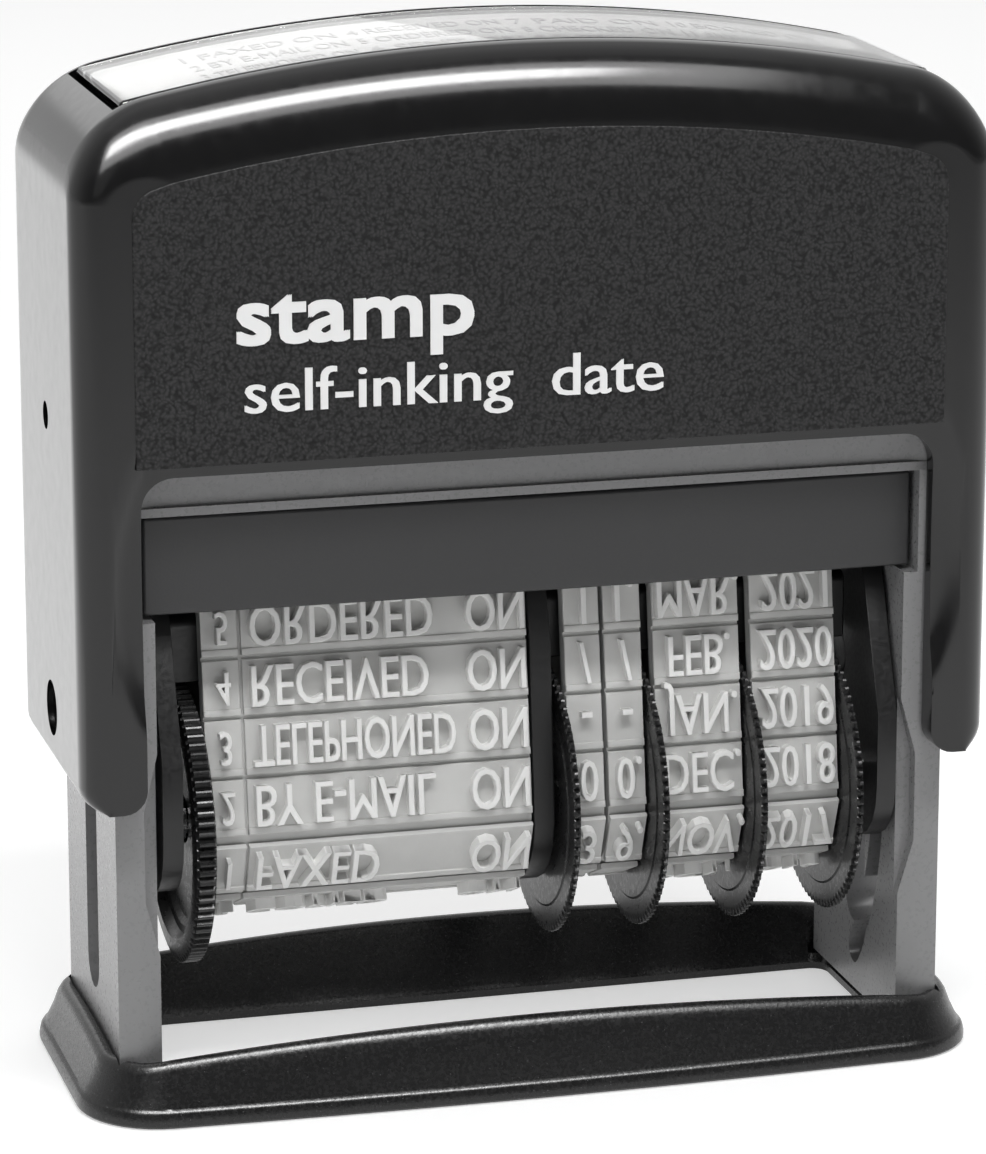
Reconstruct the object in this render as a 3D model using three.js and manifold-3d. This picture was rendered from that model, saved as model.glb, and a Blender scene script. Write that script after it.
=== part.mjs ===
// Self-inking rotary date stamp. Millimetres, +Z up, the front towards -Y.
// Origin: bottom centre of the foot ring, on the paper.
import * as THREE from "three";
import Module from "manifold-3d";

const wasm = await Module();
wasm.setup();

// ---- driving dimensions -------------------------------------------------
const GAP = 0.3; // between neighbouring pieces
const PI = Math.PI;

const FOOT = {
  halfX: 31.5, halfY: 12.4, bow: 0.9, cornerR: 5.5, // outline on the paper
  openX: 26.5, openY: 8.2, openR: 1.2, // print opening
  railTop: 5.4, endTop: 4.0, bevelTop: 1.1,
};
const LEG = {
  inner: 26.0, outer: 28.9, halfY: 9.3, edgeY: 8.9, ridgeX: 27.5,
  bottom: 1.3, scoop: 1.0, scoopLow: 11, scoopHigh: 25,
};
const PIVOT_Z = 26.2; // turning axis of the type unit at rest
const TRAVEL = 17.4; // how far the housing is pressed
const CROSSBAR = { bottom: 41.2, top: 46.0, floor: 42.7, wall: 1.5, lipX: 27.4, lipY: 9.3, lipTop: 41.8 };
const FOLLOWER = { radius: 0.9, arm: 4.5, depth: 0.95 };
const SLOT = { half: 2.0, low: 8.2, high: 30.7 };
const TRAY = {
  halfX: 26.6, halfY: 8.2, bow: 0.4, bottom: 34.3, top: 40.9,
  wellX: 24.6, wellY: 6.4, wellTop: 38.6,
};
const PAD_BOTTOM = 35.2;
const HOUSING = {
  halfX: 31.4, halfY: 11.7, bottom: 21.8, apex: 71.4, crownR: 125, cornerR: 6.5,
  rollY: 3.7, rollZ: 5.6, edgeR: 2.5, lipR: 1.6,
  cavityX: 29.3, cavityY: 9.7, roof: 3.7, windowX: 27.2, windowTop: 44.2, windowR: 2.2,
};
const POCKET = { halfX: 28.6, halfY: 7.9, depth: 2.2 }; // for the index window
const WINDOW = { halfX: 27.5, halfY: 7.6, thick: 1.2 };
const CARD = { halfX: 26.6, halfY: 7.0, thick: 0.35 };
const SPRING = { meanR: 4.1, wireR: 0.4, coils: 6, seatR: 5.4, bossR: 2.8, bossLength: 5.7 };
const AXLE = { z: 17.7, r: 1.4, half: 25.5 };
const WHEEL = { r: 9.8, hubR: 4.0, recessR: 7.5, recess: 1.1 };
const BAND = { drumR: 6.75, topR: 2.7, topY: 2.0, topZ: 32.2, thick: 2.0 };
const PLATEN = { halfY: 2.35, low: 27.9, cornerR: 0.8 }; // bar inside the bands
const PARTITION = { r: 6.0, halfY: 4.6, shoulder: 30.0, topY: 3.4, top: 33.4 };
const PLATE = { x0: 24.3, x1: 25.7, wide: 9.0, narrow: 5.0, top: 33.9, bottom: 14.3, r: 4.5 };
const PIN = { r: 1.6, hole: 1.9, x0: 24.5, x1: 30.9 };
const LATCH = { z: 46.4, r: 0.95 };

// Bands, and the discs that turn them: left and right faces along X.
const BANDS = {
  phrase: [-21.8, 0.4], day_tens: [3.4, 5.75], day_units: [6.05, 8.5],
  month: [9.7, 15.5], year: [16.7, 22.4],
};
const DISCS = {
  phrase: [-23.6, -22.1], day_tens: [2.5, 3.1], day_units: [8.8, 9.4],
  month: [15.8, 16.4], year: [22.7, 23.3],
};

// ---- materials ----------------------------------------------------------
const plastic = (color, roughness) =>
  new THREE.MeshStandardMaterial({ color, roughness, metalness: 0 });
const steel = (color, roughness) =>
  new THREE.MeshStandardMaterial({ color, roughness, metalness: 1 });
const BLACK_GLOSS = 0x141414, BLACK_SATIN = 0x1c1c1c, GREY = 0x707070, WHITE = 0xe6e4de;

// ---- helpers ------------------------------------------------------------
const part = new THREE.Group();
part.name = "rotary_date_stamp";

const { Manifold, Mesh } = wasm;

function solid(geometry) {
  const g = geometry.index ? geometry.toNonIndexed() : geometry;
  const p = g.getAttribute("position").array;
  const keys = new Map(), verts = [], tris = [];
  for (let i = 0; i < p.length; i += 3) {
    const key = [0, 1, 2].map((j) => Math.round(p[i + j] * 1e4)).join();
    if (!keys.has(key)) {
      keys.set(key, verts.length / 3);
      verts.push(p[i], p[i + 1], p[i + 2]);
    }
    tris.push(keys.get(key));
  }
  const kept = [];
  for (let i = 0; i < tris.length; i += 3) {
    const [a, b, c] = tris.slice(i, i + 3);
    if (a !== b && b !== c && c !== a) kept.push(a, b, c);
  }
  return new Manifold(new Mesh({
    numProp: 3, vertProperties: new Float32Array(verts), triVerts: new Uint32Array(kept),
  }));
}

function geometryOf(body) {
  const m = body.getMesh();
  const g = new THREE.BufferGeometry();
  g.setAttribute("position", new THREE.BufferAttribute(new Float32Array(m.vertProperties), 3));
  g.setIndex(new THREE.BufferAttribute(new Uint32Array(m.triVerts), 1));
  g.computeVertexNormals();
  return g;
}

function add(name, body, material) {
  const mesh = new THREE.Mesh(geometryOf(body), material);
  mesh.name = name;
  part.add(mesh);
}

// An outline (and holes) drawn in two axes, pushed from a to b along the third.
function extrude(points, a, b, basis, holes = []) {
  const shape = new THREE.Shape(points.map(([u, v]) => new THREE.Vector2(u, v)));
  shape.holes = holes.map((h) => new THREE.Path(h.map(([u, v]) => new THREE.Vector2(u, v))));
  const g = new THREE.ExtrudeGeometry(shape, { depth: Math.abs(b - a), bevelEnabled: false });
  return solid(g.applyMatrix4(basis));
}
const V = (x, y, z) => new THREE.Vector3(x, y, z);
function alongX(points, x0, x1, holes) {
  const m = new THREE.Matrix4().makeBasis(V(0, 1, 0), V(0, 0, 1), V(1, 0, 0)).setPosition(x0, 0, 0);
  return extrude(points, x0, x1, m, holes);
}
function alongY(points, y0, y1, holes) {
  const m = new THREE.Matrix4().makeBasis(V(1, 0, 0), V(0, 0, 1), V(0, -1, 0)).setPosition(0, y1, 0);
  return extrude(points, y0, y1, m, holes);
}
function alongZ(points, z0, z1, holes) {
  return extrude(points, z0, z1, new THREE.Matrix4().setPosition(0, 0, z0), holes);
}
const block = (x0, x1, y0, y1, z0, z1) => alongZ([[x0, y0], [x1, y0], [x1, y1], [x0, y1]], z0, z1);
const mirrorX = (body) => body.mirror([1, 0, 0]);

// Points on an arc, from angle a to angle b, both ends included.
function arc(cu, cv, r, a, b, steps) {
  return Array.from({ length: steps + 1 }, (_, i) => {
    const t = a + ((b - a) * i) / steps;
    return [cu + r * Math.cos(t), cv + r * Math.sin(t)];
  });
}
const circle = (cu, cv, r, sides = 32) => arc(cu, cv, r, 0, 2 * PI, sides).slice(0, -1);
const rounded = (hu, hv, r, steps = 4) => [
  ...arc(hu - r, -hv + r, r, -PI / 2, 0, steps), ...arc(hu - r, hv - r, r, 0, PI / 2, steps),
  ...arc(-hu + r, hv - r, r, PI / 2, PI, steps), ...arc(-hu + r, -hv + r, r, PI, 1.5 * PI, steps),
];

// Closed skin over rings of points with the same count; caps triangulate the end rings.
function loft(rings, caps) {
  const n = rings[0].length, pos = rings.flat(2), index = [];
  const last = caps ? rings.length - 1 : rings.length;
  for (let j = 0; j < last; j++) {
    const a = j * n, b = ((j + 1) % rings.length) * n;
    for (let i = 0; i < n; i++) {
      const k = (i + 1) % n;
      index.push(a + i, a + k, b + k, a + i, b + k, b + i);
    }
  }
  if (caps) {
    const flat = caps.map(([u, v]) => new THREE.Vector2(u, v));
    const base = (rings.length - 1) * n;
    for (const [a, b, c] of THREE.ShapeUtils.triangulateShape(flat, [])) {
      index.push(a, c, b, base + a, base + b, base + c);
    }
  }
  const g = new THREE.BufferGeometry();
  g.setAttribute("position", new THREE.Float32BufferAttribute(pos, 3));
  g.setIndex(index);
  const body = solid(g);
  if (body.volume() > 0) return body;
  for (let i = 0; i < index.length; i += 3) [index[i + 1], index[i + 2]] = [index[i + 2], index[i + 1]];
  g.setIndex(index);
  return solid(g);
}

// ---- foot ring ----------------------------------------------------------
// Height of the ring's ridge: the long rails arch up towards the middle.
function ridgeZ(x) {
  const t = Math.min(1, Math.abs(x) / LEG.inner);
  return FOOT.railTop - (FOOT.railTop - FOOT.endTop) * t * t;
}

function footRing() {
  const spread = (pts, count) => pts.flatMap((p, i) => {
    const q = pts[(i + 1) % pts.length], long = Math.hypot(q[0] - p[0], q[1] - p[1]) > 8;
    const m = long ? (Math.abs(q[0] - p[0]) > Math.abs(q[1] - p[1]) ? count : 3) : 1;
    return Array.from({ length: m }, (_, k) => [p[0] + ((q[0] - p[0]) * k) / m, p[1] + ((q[1] - p[1]) * k) / m]);
  });
  const outer = spread(rounded(FOOT.halfX, FOOT.halfY, FOOT.cornerR, 6), 10)
    .map(([x, y]) => [x, y + Math.sign(y) * FOOT.bow * Math.cos((PI / 2) * (x / FOOT.halfX))]);
  const inner = spread(rounded(FOOT.openX, FOOT.openY, FOOT.openR, 6), 10);
  // Section: fraction of the way from the outline to the opening, and height (1 = ridge).
  const section = (x) => {
    const top = ridgeZ(x);
    return [[0.06, 0], [0, 0.25], [0.03, FOOT.bevelTop], [0.16, top - 0.9], [0.24, top - 0.2],
      [0.36, top], [0.5, top - 0.35], [0.96, 0.9], [1, 0.3], [1, 0]];
  };
  const count = section(0).length;
  const rings = Array.from({ length: count }, (_, j) => outer.map(([x, y], i) => {
    const [t, z] = section(x)[j];
    return [x + (inner[i][0] - x) * t, y + (inner[i][1] - y) * t, z];
  }));
  const ring = loft(rings, null);
  const x0 = LEG.inner - GAP, x1 = LEG.outer + GAP, y = LEG.halfY + GAP;
  const socket = block(x0, x1, -y, y, LEG.bottom - GAP, FOOT.railTop + 2);
  return ring.subtract(socket).subtract(mirrorX(socket));
}
add("foot_ring", footRing(), plastic(BLACK_SATIN, 0.45));

// ---- lower frame: two slotted legs under a crossbar ----------------------
// Path of the cam follower on the leg, as the housing goes down and the unit turns.
function followerPath(steps) {
  return Array.from({ length: steps + 1 }, (_, i) => {
    const turn = (PI * i) / steps;
    return [-FOLLOWER.arm * Math.sin(turn), PIVOT_Z - (TRAVEL * i) / steps + FOLLOWER.arm * Math.cos(turn)];
  });
}

function camGroove() {
  const r = FOLLOWER.radius + 0.25, path = followerPath(20), left = [], right = [];
  path.forEach(([y, z], i) => {
    const a = path[Math.max(0, i - 1)], b = path[Math.min(path.length - 1, i + 1)];
    const d = Math.hypot(b[0] - a[0], b[1] - a[1]), ny = -(b[1] - a[1]) / d, nz = (b[0] - a[0]) / d;
    left.push([y + ny * r, z + nz * r]);
    right.push([y - ny * r, z - nz * r]);
  });
  const x0 = LEG.inner - 0.5, x1 = LEG.inner + FOLLOWER.depth + 0.2;
  const ends = [path[0], path[path.length - 1]].map(([y, z]) => alongX(circle(y, z, r, 20), x0, x1));
  return Manifold.union([alongX([...left, ...right.reverse()].reverse(), x0, x1), ...ends]);
}

function lowerFrame() {
  const section = [[LEG.inner, -LEG.edgeY], [LEG.ridgeX, -LEG.halfY], [LEG.outer, -LEG.edgeY],
    [LEG.outer, LEG.edgeY], [LEG.ridgeX, LEG.halfY], [LEG.inner, LEG.edgeY]];
  let leg = alongZ(section, LEG.bottom, CROSSBAR.top);
  const slot = alongX([...arc(0, SLOT.low, SLOT.half, PI, 2 * PI, 8),
    ...arc(0, SLOT.high, SLOT.half, 0, PI, 8)], LEG.inner - 1, LEG.outer + 1);
  // Shoulder that the tray rests on, cut into the inside of the leg.
  const shoulder = block(LEG.inner - 1, TRAY.halfX + GAP, -LEG.halfY - 1, LEG.halfY + 1,
    TRAY.bottom - GAP, CROSSBAR.bottom);
  leg = leg.subtract(slot).subtract(shoulder).subtract(camGroove());
  // Scoop along the inner front and back edges, where the hand reaches the wheels.
  const mid = (LEG.scoopLow + LEG.scoopHigh) / 2;
  for (const side of [-1, 1]) {
    const y = side * (LEG.halfY + 0.6), h = (LEG.scoopHigh - LEG.scoopLow) / 2;
    const cut = alongY([[LEG.inner - 1, mid - h], [LEG.inner, mid - h], [LEG.inner + LEG.scoop, mid - h * 0.45],
      [LEG.inner + LEG.scoop, mid + h * 0.45], [LEG.inner, mid + h], [LEG.inner - 1, mid + h]],
      Math.min(y, y - side * 1.8), Math.max(y, y - side * 1.8));
    leg = leg.subtract(cut);
  }
  const bar = block(-LEG.ridgeX, LEG.ridgeX, -LEG.edgeY, LEG.edgeY, CROSSBAR.bottom, CROSSBAR.top);
  const lip = block(-CROSSBAR.lipX, CROSSBAR.lipX, -CROSSBAR.lipY, CROSSBAR.lipY, CROSSBAR.bottom, CROSSBAR.lipTop);
  const frame = Manifold.union([leg, mirrorX(leg), bar, lip]);
  const cup = alongZ(circle(0, 0, SPRING.seatR, 36), CROSSBAR.floor, CROSSBAR.top + 1);
  const x0 = SPRING.seatR + CROSSBAR.wall, x1 = LEG.inner - CROSSBAR.wall, y = LEG.edgeY - CROSSBAR.wall;
  const pocket = block(x0, x1, -y, y, CROSSBAR.floor, CROSSBAR.top + 1);
  return frame.subtract(cup).subtract(pocket).subtract(mirrorX(pocket));
}
add("lower_frame", lowerFrame(), plastic(GREY, 0.4));

// ---- ink cartridge --------------------------------------------------------
function inkTray() {
  const steps = 10, front = Array.from({ length: steps + 1 }, (_, i) => {
    const x = -TRAY.halfX + (2 * TRAY.halfX * i) / steps;
    return [x, -TRAY.halfY - TRAY.bow * Math.cos((PI / 2) * (x / TRAY.halfX))];
  });
  const plan = [...front, ...front.map(([x, y]) => [x, -y]).reverse()];
  const well = block(-TRAY.wellX, TRAY.wellX, -TRAY.wellY, TRAY.wellY, TRAY.bottom - 1, TRAY.wellTop);
  return alongZ(plan, TRAY.bottom, TRAY.top).subtract(well);
}
add("ink_tray", inkTray(), plastic(BLACK_SATIN, 0.5));
add("ink_pad", block(-TRAY.wellX + GAP, TRAY.wellX - GAP, -TRAY.wellY + GAP, TRAY.wellY - GAP,
  PAD_BOTTOM, TRAY.wellTop - GAP), plastic(0x20222c, 0.95));

// ---- housing --------------------------------------------------------------
const crownZ = (x, top = HOUSING.apex) => top - (HOUSING.crownR - Math.sqrt(HOUSING.crownR ** 2 - x * x));

// Strip that follows the crown, between two depths below it.
function crownStrip(halfX, halfY, upper, lower) {
  const steps = 16, at = (i) => -halfX + (2 * halfX * i) / steps;
  const up = Array.from({ length: steps + 1 }, (_, i) => [at(i), crownZ(at(i)) - upper]);
  const low = Array.from({ length: steps + 1 }, (_, i) => [at(i), crownZ(at(i)) - lower]);
  return alongY([...low, ...up.reverse()], -halfY, halfY);
}

// Outline of the front face with its outward normals, anticlockwise from the bottom left.
function housingOutline() {
  const { halfX, bottom, lipR, cornerR, crownR } = HOUSING;
  const pts = [];
  const put = (x, z, nx, nz) => pts.push({ x, z, nx, nz });
  const steps = 24, edgeX = halfX - cornerR + 1.0;
  const tilt = Math.asin(edgeX / crownR); // slope of the crown where the corner begins
  const cx = edgeX - cornerR * Math.sin(tilt), cz = crownZ(edgeX) - cornerR * Math.cos(tilt);
  const right = [];
  for (let i = 0; i <= 3; i++) {
    const t = -PI / 2 + (PI / 2) * (i / 3);
    right.push([halfX - lipR + lipR * Math.cos(t), bottom + lipR + lipR * Math.sin(t), Math.cos(t), 0]);
  }
  right.push([halfX, (bottom + cz) / 2, 1, 0]);
  for (let i = 0; i <= 8; i++) {
    const t = (PI / 2 - tilt) * (i / 8), x = Math.min(halfX, cx + cornerR * Math.cos(t));
    const stretch = (halfX - cx) / cornerR; // corner is a little wider than it is tall
    right.push([cx + (x - cx) * (1 + (stretch - 1) * Math.cos(t)), cz + cornerR * Math.sin(t), Math.cos(t), Math.sin(t)]);
  }
  right.forEach(([x, z, nx, nz]) => put(x, z, nx, nz));
  for (let i = 1; i < steps; i++) {
    const x = edgeX - (2 * edgeX * i) / steps, a = Math.asin(x / crownR);
    put(x, crownZ(x), Math.sin(a), Math.cos(a));
  }
  right.reverse().forEach(([x, z, nx, nz]) => put(-x, z, -nx, nz));
  return pts;
}

// How far the outline is drawn in at depth y: a wide roll on top, a small one on the sides.
function rollIn(y, nz) {
  const quarter = (u) => 1 - Math.sqrt(Math.max(0, 1 - u * u));
  const over = (width) => Math.max(0, (Math.abs(y) - HOUSING.halfY + width) / width);
  const side = HOUSING.edgeR * quarter(over(HOUSING.edgeR));
  const top = HOUSING.rollZ * quarter(over(HOUSING.rollY));
  return side + (top - side) * Math.max(0, nz) ** 1.5;
}

function housingCap() {
  const outline = housingOutline();
  const half = [0, 0.35, 0.62, 0.82, 0.94, 1].map((t) => HOUSING.halfY - HOUSING.rollY * (1 - t));
  const layers = [...half.map((y) => -y).reverse(), ...half];
  const layer = (y) => outline.map(({ x, z, nx, nz }) => {
    const d = rollIn(y, nz);
    return [x - nx * d, z - nz * d];
  });
  const rings = layers.map((y) => layer(y).map(([x, z]) => [x, y, z]));
  const outer = loft(rings, layer(layers[0]));
  const { cavityX, cavityY, windowX, windowTop, windowR, bottom, lipR, roof } = HOUSING;
  // Hollow inside, with a roof that follows the crown.
  const roofline = Array.from({ length: 13 }, (_, i) => {
    const x = cavityX - (2 * cavityX * i) / 12;
    return [x, Math.min(crownZ(x) - roof, crownZ(cavityX - 2) - roof + (cavityX - Math.abs(x)))];
  });
  const cavity = alongY([[-cavityX, bottom - 1], [cavityX, bottom - 1], ...roofline], -cavityY, cavityY);
  // Working window through front and back, flared at the bottom so the skirts end rounded.
  const opening = alongY([
    [windowX + lipR, bottom - 1], [windowX + lipR, bottom],
    ...arc(windowX + lipR, bottom + lipR, lipR, -PI / 2, -PI, 4).slice(1),
    ...arc(windowX - windowR, windowTop - windowR, windowR, 0, PI / 2, 5),
    ...arc(-windowX + windowR, windowTop - windowR, windowR, PI / 2, PI, 5),
    ...arc(-windowX - lipR, bottom + lipR, lipR, 0, -PI / 2, 4).slice(0, -1),
    [-windowX - lipR, bottom], [-windowX - lipR, bottom - 1],
  ], -HOUSING.halfY - 1, HOUSING.halfY + 1);
  const pocket = crownStrip(POCKET.halfX, POCKET.halfY, -2, POCKET.depth);
  const hole = alongX(circle(0, PIVOT_Z, PIN.hole, 24), -HOUSING.halfX - 1, HOUSING.halfX + 1);
  const latch = alongX(circle(0, LATCH.z, LATCH.r, 16), -HOUSING.halfX - 1, -HOUSING.cavityX + 1);
  const roofZ = crownZ(0) - roof;
  const boss = alongZ(circle(0, 0, SPRING.bossR, 24), roofZ - SPRING.bossLength, roofZ + 0.5);
  return Manifold.union([outer.subtract(cavity), boss])
    .subtract(opening).subtract(pocket).subtract(hole).subtract(latch);
}
add("housing_cap", housingCap(), plastic(BLACK_GLOSS, 0.15));
add("index_window", crownStrip(WINDOW.halfX, WINDOW.halfY, 0, WINDOW.thick),
  new THREE.MeshStandardMaterial({ color: 0xf2f2f2, roughness: 0.1, metalness: 0, transparent: true, opacity: 0.35 }));
add("index_card", crownStrip(CARD.halfX, CARD.halfY, WINDOW.thick + GAP, WINDOW.thick + GAP + CARD.thick),
  plastic(0xf4f2ea, 0.9));

// ---- return spring ----------------------------------------------------------
function returnSpring() {
  const low = CROSSBAR.floor + GAP + SPRING.wireR;
  const high = crownZ(0) - HOUSING.roof - GAP - SPRING.wireR;
  const around = 8, steps = SPRING.coils * 14, rings = [];
  for (let i = 0; i <= steps; i++) {
    const t = i / steps, a = 2 * PI * SPRING.coils * t;
    const z = low + (high - low) * t;
    rings.push(Array.from({ length: around }, (_, k) => {
      const b = (2 * PI * k) / around, r = SPRING.meanR + SPRING.wireR * Math.cos(b);
      return [r * Math.cos(a), r * Math.sin(a), z + SPRING.wireR * Math.sin(b)];
    }));
  }
  return loft(rings, circle(0, 0, 1, around));
}
add("return_spring", returnSpring(), steel(0xb8b8b8, 0.3));

// ---- type unit ----------------------------------------------------------------
function endPlate() {
  const { wide, narrow, top, bottom, r } = PLATE;
  const outline = [...arc(-wide + r, bottom + r, r, PI, 1.5 * PI, 5), ...arc(wide - r, bottom + r, r, 1.5 * PI, 2 * PI, 5),
    [wide, 24], [narrow + 0.6, top - 1.2], [narrow - 0.2, top], [-narrow + 0.2, top], [-narrow - 0.6, top - 1.2], [-wide, 24]];
  const holes = [circle(0, PIVOT_Z, PIN.hole, 24), circle(0, AXLE.z, AXLE.r + GAP, 20),
    circle(0, PIVOT_Z + FOLLOWER.arm, FOLLOWER.radius + GAP, 20)];
  return alongX(outline, PLATE.x0, PLATE.x1, holes);
}
add("right_end_plate", endPlate(), plastic(0x101010, 0.45));
add("left_end_plate", mirrorX(endPlate()), plastic(0x101010, 0.45));

const pivotPin = alongX(circle(0, PIVOT_Z, PIN.r, 24), PIN.x0, PIN.x1);
add("right_pivot_pin", pivotPin, plastic(0x0c0c0c, 0.35));
add("left_pivot_pin", mirrorX(pivotPin), plastic(0x0c0c0c, 0.35));

const follower = alongX(circle(0, PIVOT_Z + FOLLOWER.arm, FOLLOWER.radius, 20),
  PLATE.x0 + 0.2, LEG.inner + FOLLOWER.depth - 0.1);
add("right_cam_follower", follower, steel(0x9a9a9a, 0.3));
add("left_cam_follower", mirrorX(follower), steel(0x9a9a9a, 0.3));

add("wheel_axle", alongX(circle(0, AXLE.z, AXLE.r, 24), -AXLE.half, AXLE.half), steel(0xa8a8a8, 0.3));

// Bar that carries the bands up to the pad, and presses them on the paper when turned.
const platenTop = BAND.topZ + BAND.topR - BAND.thick - GAP;
function platenOutline(grow) {
  const y = PLATEN.halfY + grow, top = platenTop + grow, r = PLATEN.cornerR;
  return [...arc(y - r, top - r, r, 0, PI / 2, 4), ...arc(-y + r, top - r, r, PI / 2, PI, 4),
    [-y, PLATEN.low - grow], [y, PLATEN.low - grow]];
}
add("platen_bar", alongX(platenOutline(0), -PLATE.x0 + GAP, PLATE.x0 - GAP), plastic(0x101010, 0.5));

// Partition between the phrase band and the date bands, cut clear of the bar and the axle.
const partitionX = [BANDS.phrase[1] + GAP, DISCS.day_tens[0] - GAP];
const partition = [...arc(0, AXLE.z, PARTITION.r, PI + 0.1, 2 * PI - 0.1, 10),
  [PARTITION.halfY, PARTITION.shoulder], [PARTITION.topY, PARTITION.top],
  [-PARTITION.topY, PARTITION.top], [-PARTITION.halfY, PARTITION.shoulder]];
const partitionHoles = [platenOutline(GAP), circle(0, AXLE.z, AXLE.r + GAP, 20)];
add("band_partition", alongX(partition, ...partitionX, partitionHoles), plastic(0x101010, 0.5));

// Loop drawn tight around the drum and the narrower bar; inset moves the outline inwards.
function bandLoop(inset) {
  const { drumR, topR, topY, topZ } = BAND, rise = topZ - AXLE.z;
  const lean = Math.asin((drumR - topR) / Math.hypot(topY, rise)) - Math.atan2(topY, rise);
  return [...arc(0, AXLE.z, drumR - inset, PI - lean, 2 * PI + lean, 20),
    ...arc(topY, topZ, topR - inset, lean, PI / 2, 6), ...arc(-topY, topZ, topR - inset, PI / 2, PI - lean, 6)];
}
for (const [name, [x0, x1]] of Object.entries(BANDS)) {
  add(name + "_band", alongX(bandLoop(0), x0, x1, [bandLoop(BAND.thick)]), plastic(WHITE, 0.7));
}

// Thumbwheels: a knurled disc beside the band and a drum inside it, bored for the axle.
for (const [name, [x0, x1]] of Object.entries(DISCS)) {
  const [b0, b1] = BANDS[name], bore = [circle(0, AXLE.z, AXLE.r + GAP, 24)];
  const drum = b0 > x1 ? [x1 - 0.2, b1] : [b0, x0 + 0.2];
  const body = [alongX(circle(0, AXLE.z, WHEEL.r, 48), x0, x1, bore), alongX(circle(0, AXLE.z, WHEEL.hubR, 24), ...drum, bore)];
  let wheel = Manifold.union(body);
  if (name === "phrase") {
    const recess = alongX(circle(0, AXLE.z, WHEEL.recessR, 40), x0 - 1, x0 + WHEEL.recess);
    wheel = wheel.subtract(recess);
  }
  add(name + "_wheel", wheel, plastic(0x0e0e0e, 0.4));
}

export default part;
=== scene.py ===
import math
from itertools import product

import bmesh
import bpy
from mathutils import Matrix, Vector


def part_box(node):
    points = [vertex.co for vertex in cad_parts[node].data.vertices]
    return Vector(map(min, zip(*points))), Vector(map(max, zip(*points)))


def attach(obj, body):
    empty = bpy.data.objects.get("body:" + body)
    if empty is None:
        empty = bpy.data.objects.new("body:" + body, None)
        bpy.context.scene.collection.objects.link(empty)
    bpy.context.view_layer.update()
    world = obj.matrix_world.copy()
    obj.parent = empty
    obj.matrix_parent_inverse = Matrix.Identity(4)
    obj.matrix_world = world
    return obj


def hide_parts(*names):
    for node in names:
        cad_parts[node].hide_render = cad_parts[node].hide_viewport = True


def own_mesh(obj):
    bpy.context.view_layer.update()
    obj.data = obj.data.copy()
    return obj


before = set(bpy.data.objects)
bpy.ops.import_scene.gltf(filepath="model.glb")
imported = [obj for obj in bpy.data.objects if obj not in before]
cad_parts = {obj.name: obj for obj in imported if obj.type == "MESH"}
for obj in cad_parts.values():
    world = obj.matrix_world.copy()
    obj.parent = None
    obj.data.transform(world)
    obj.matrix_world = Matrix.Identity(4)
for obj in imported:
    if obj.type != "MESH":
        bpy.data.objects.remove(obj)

bl_info = {
    "name": "Rotary date stamp",
    "version": (1, 0, 0),
    "blender": (4, 5, 0),
    "location": "View3D > Sidebar > Date stamp",
    "description": "Builds a self-inking rotary date stamp around its packed frame",
    "category": "Add Mesh",
}

MM = 0.001
PI = math.pi
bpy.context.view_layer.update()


def span(node):
    """Lowest and highest corner of a frame node, in millimetres."""
    low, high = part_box(node)
    return [v / MM for v in low], [v / MM for v in high]


FOOT_LOW, FOOT_HIGH = span("foot_ring")
CAP_LOW, CAP_HIGH = span("housing_cap")
BAND_LOW, BAND_HIGH = span("phrase_band")
AXLE_Z = sum(corner[2] for corner in span("wheel_axle")) / 2
PIVOT_Z = sum(corner[2] for corner in span("left_pivot_pin")) / 2
WHEEL_R = (span("month_wheel")[1][2] - span("month_wheel")[0][2]) / 2
BAND_NAMES = ("phrase", "day_tens", "day_units", "month", "year")
OVERHANG = {"day_tens": (0.18, 0.0), "day_units": (0.0, 0.18)}  # type reaching past a band, left and right, mm

# What each band prints, from the row above the front's first down the front and round the back.
PHRASES = ["SENT", "ORDERED", "RECEIVED", "TELEPHONED", "BY E-MAIL", "FAXED", "COPIED", "ANSWERED", "BOOKED",
           "ENTERED", "CHECKED", "PAID", ""]
PHRASE_NUMBERS = ["6", "5", "4", "3", "2", "1", "12", "11", "10", "9", "8", "7", ""]
ROWS = {
    "day_tens": list("21/-03 21/-03"),
    "day_units": ["2.", "1.", "/", "-", "0.", "9.", " ", "8.", "7.", "6.", "5.", "4.", "3."],
    "month": ["APR.", "MAR.", "FEB.", "JAN.", "DEC.", "NOV.", "OCT.", "SEP.", "", "AUG.", "JUL.", "JUN.", "MAY."],
    "year": ["2022", "2021", "2020", "2019", "2018", "2017", "2016", "", "2027", "2026", "2025", "2024", "2023"],
}


# ---- sizes and colours a user would change -----------------------------------

def length_prop(name, description, default, **more):
    """A length in millimetres."""
    return bpy.props.FloatProperty(name=name, description=description, default=default, min=0.0, **more)


def colour_prop(name, description, default):
    return bpy.props.FloatVectorProperty(name=name, description=description, default=default,
                                         size=3, min=0.0, max=1.0, subtype="COLOR")


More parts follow.
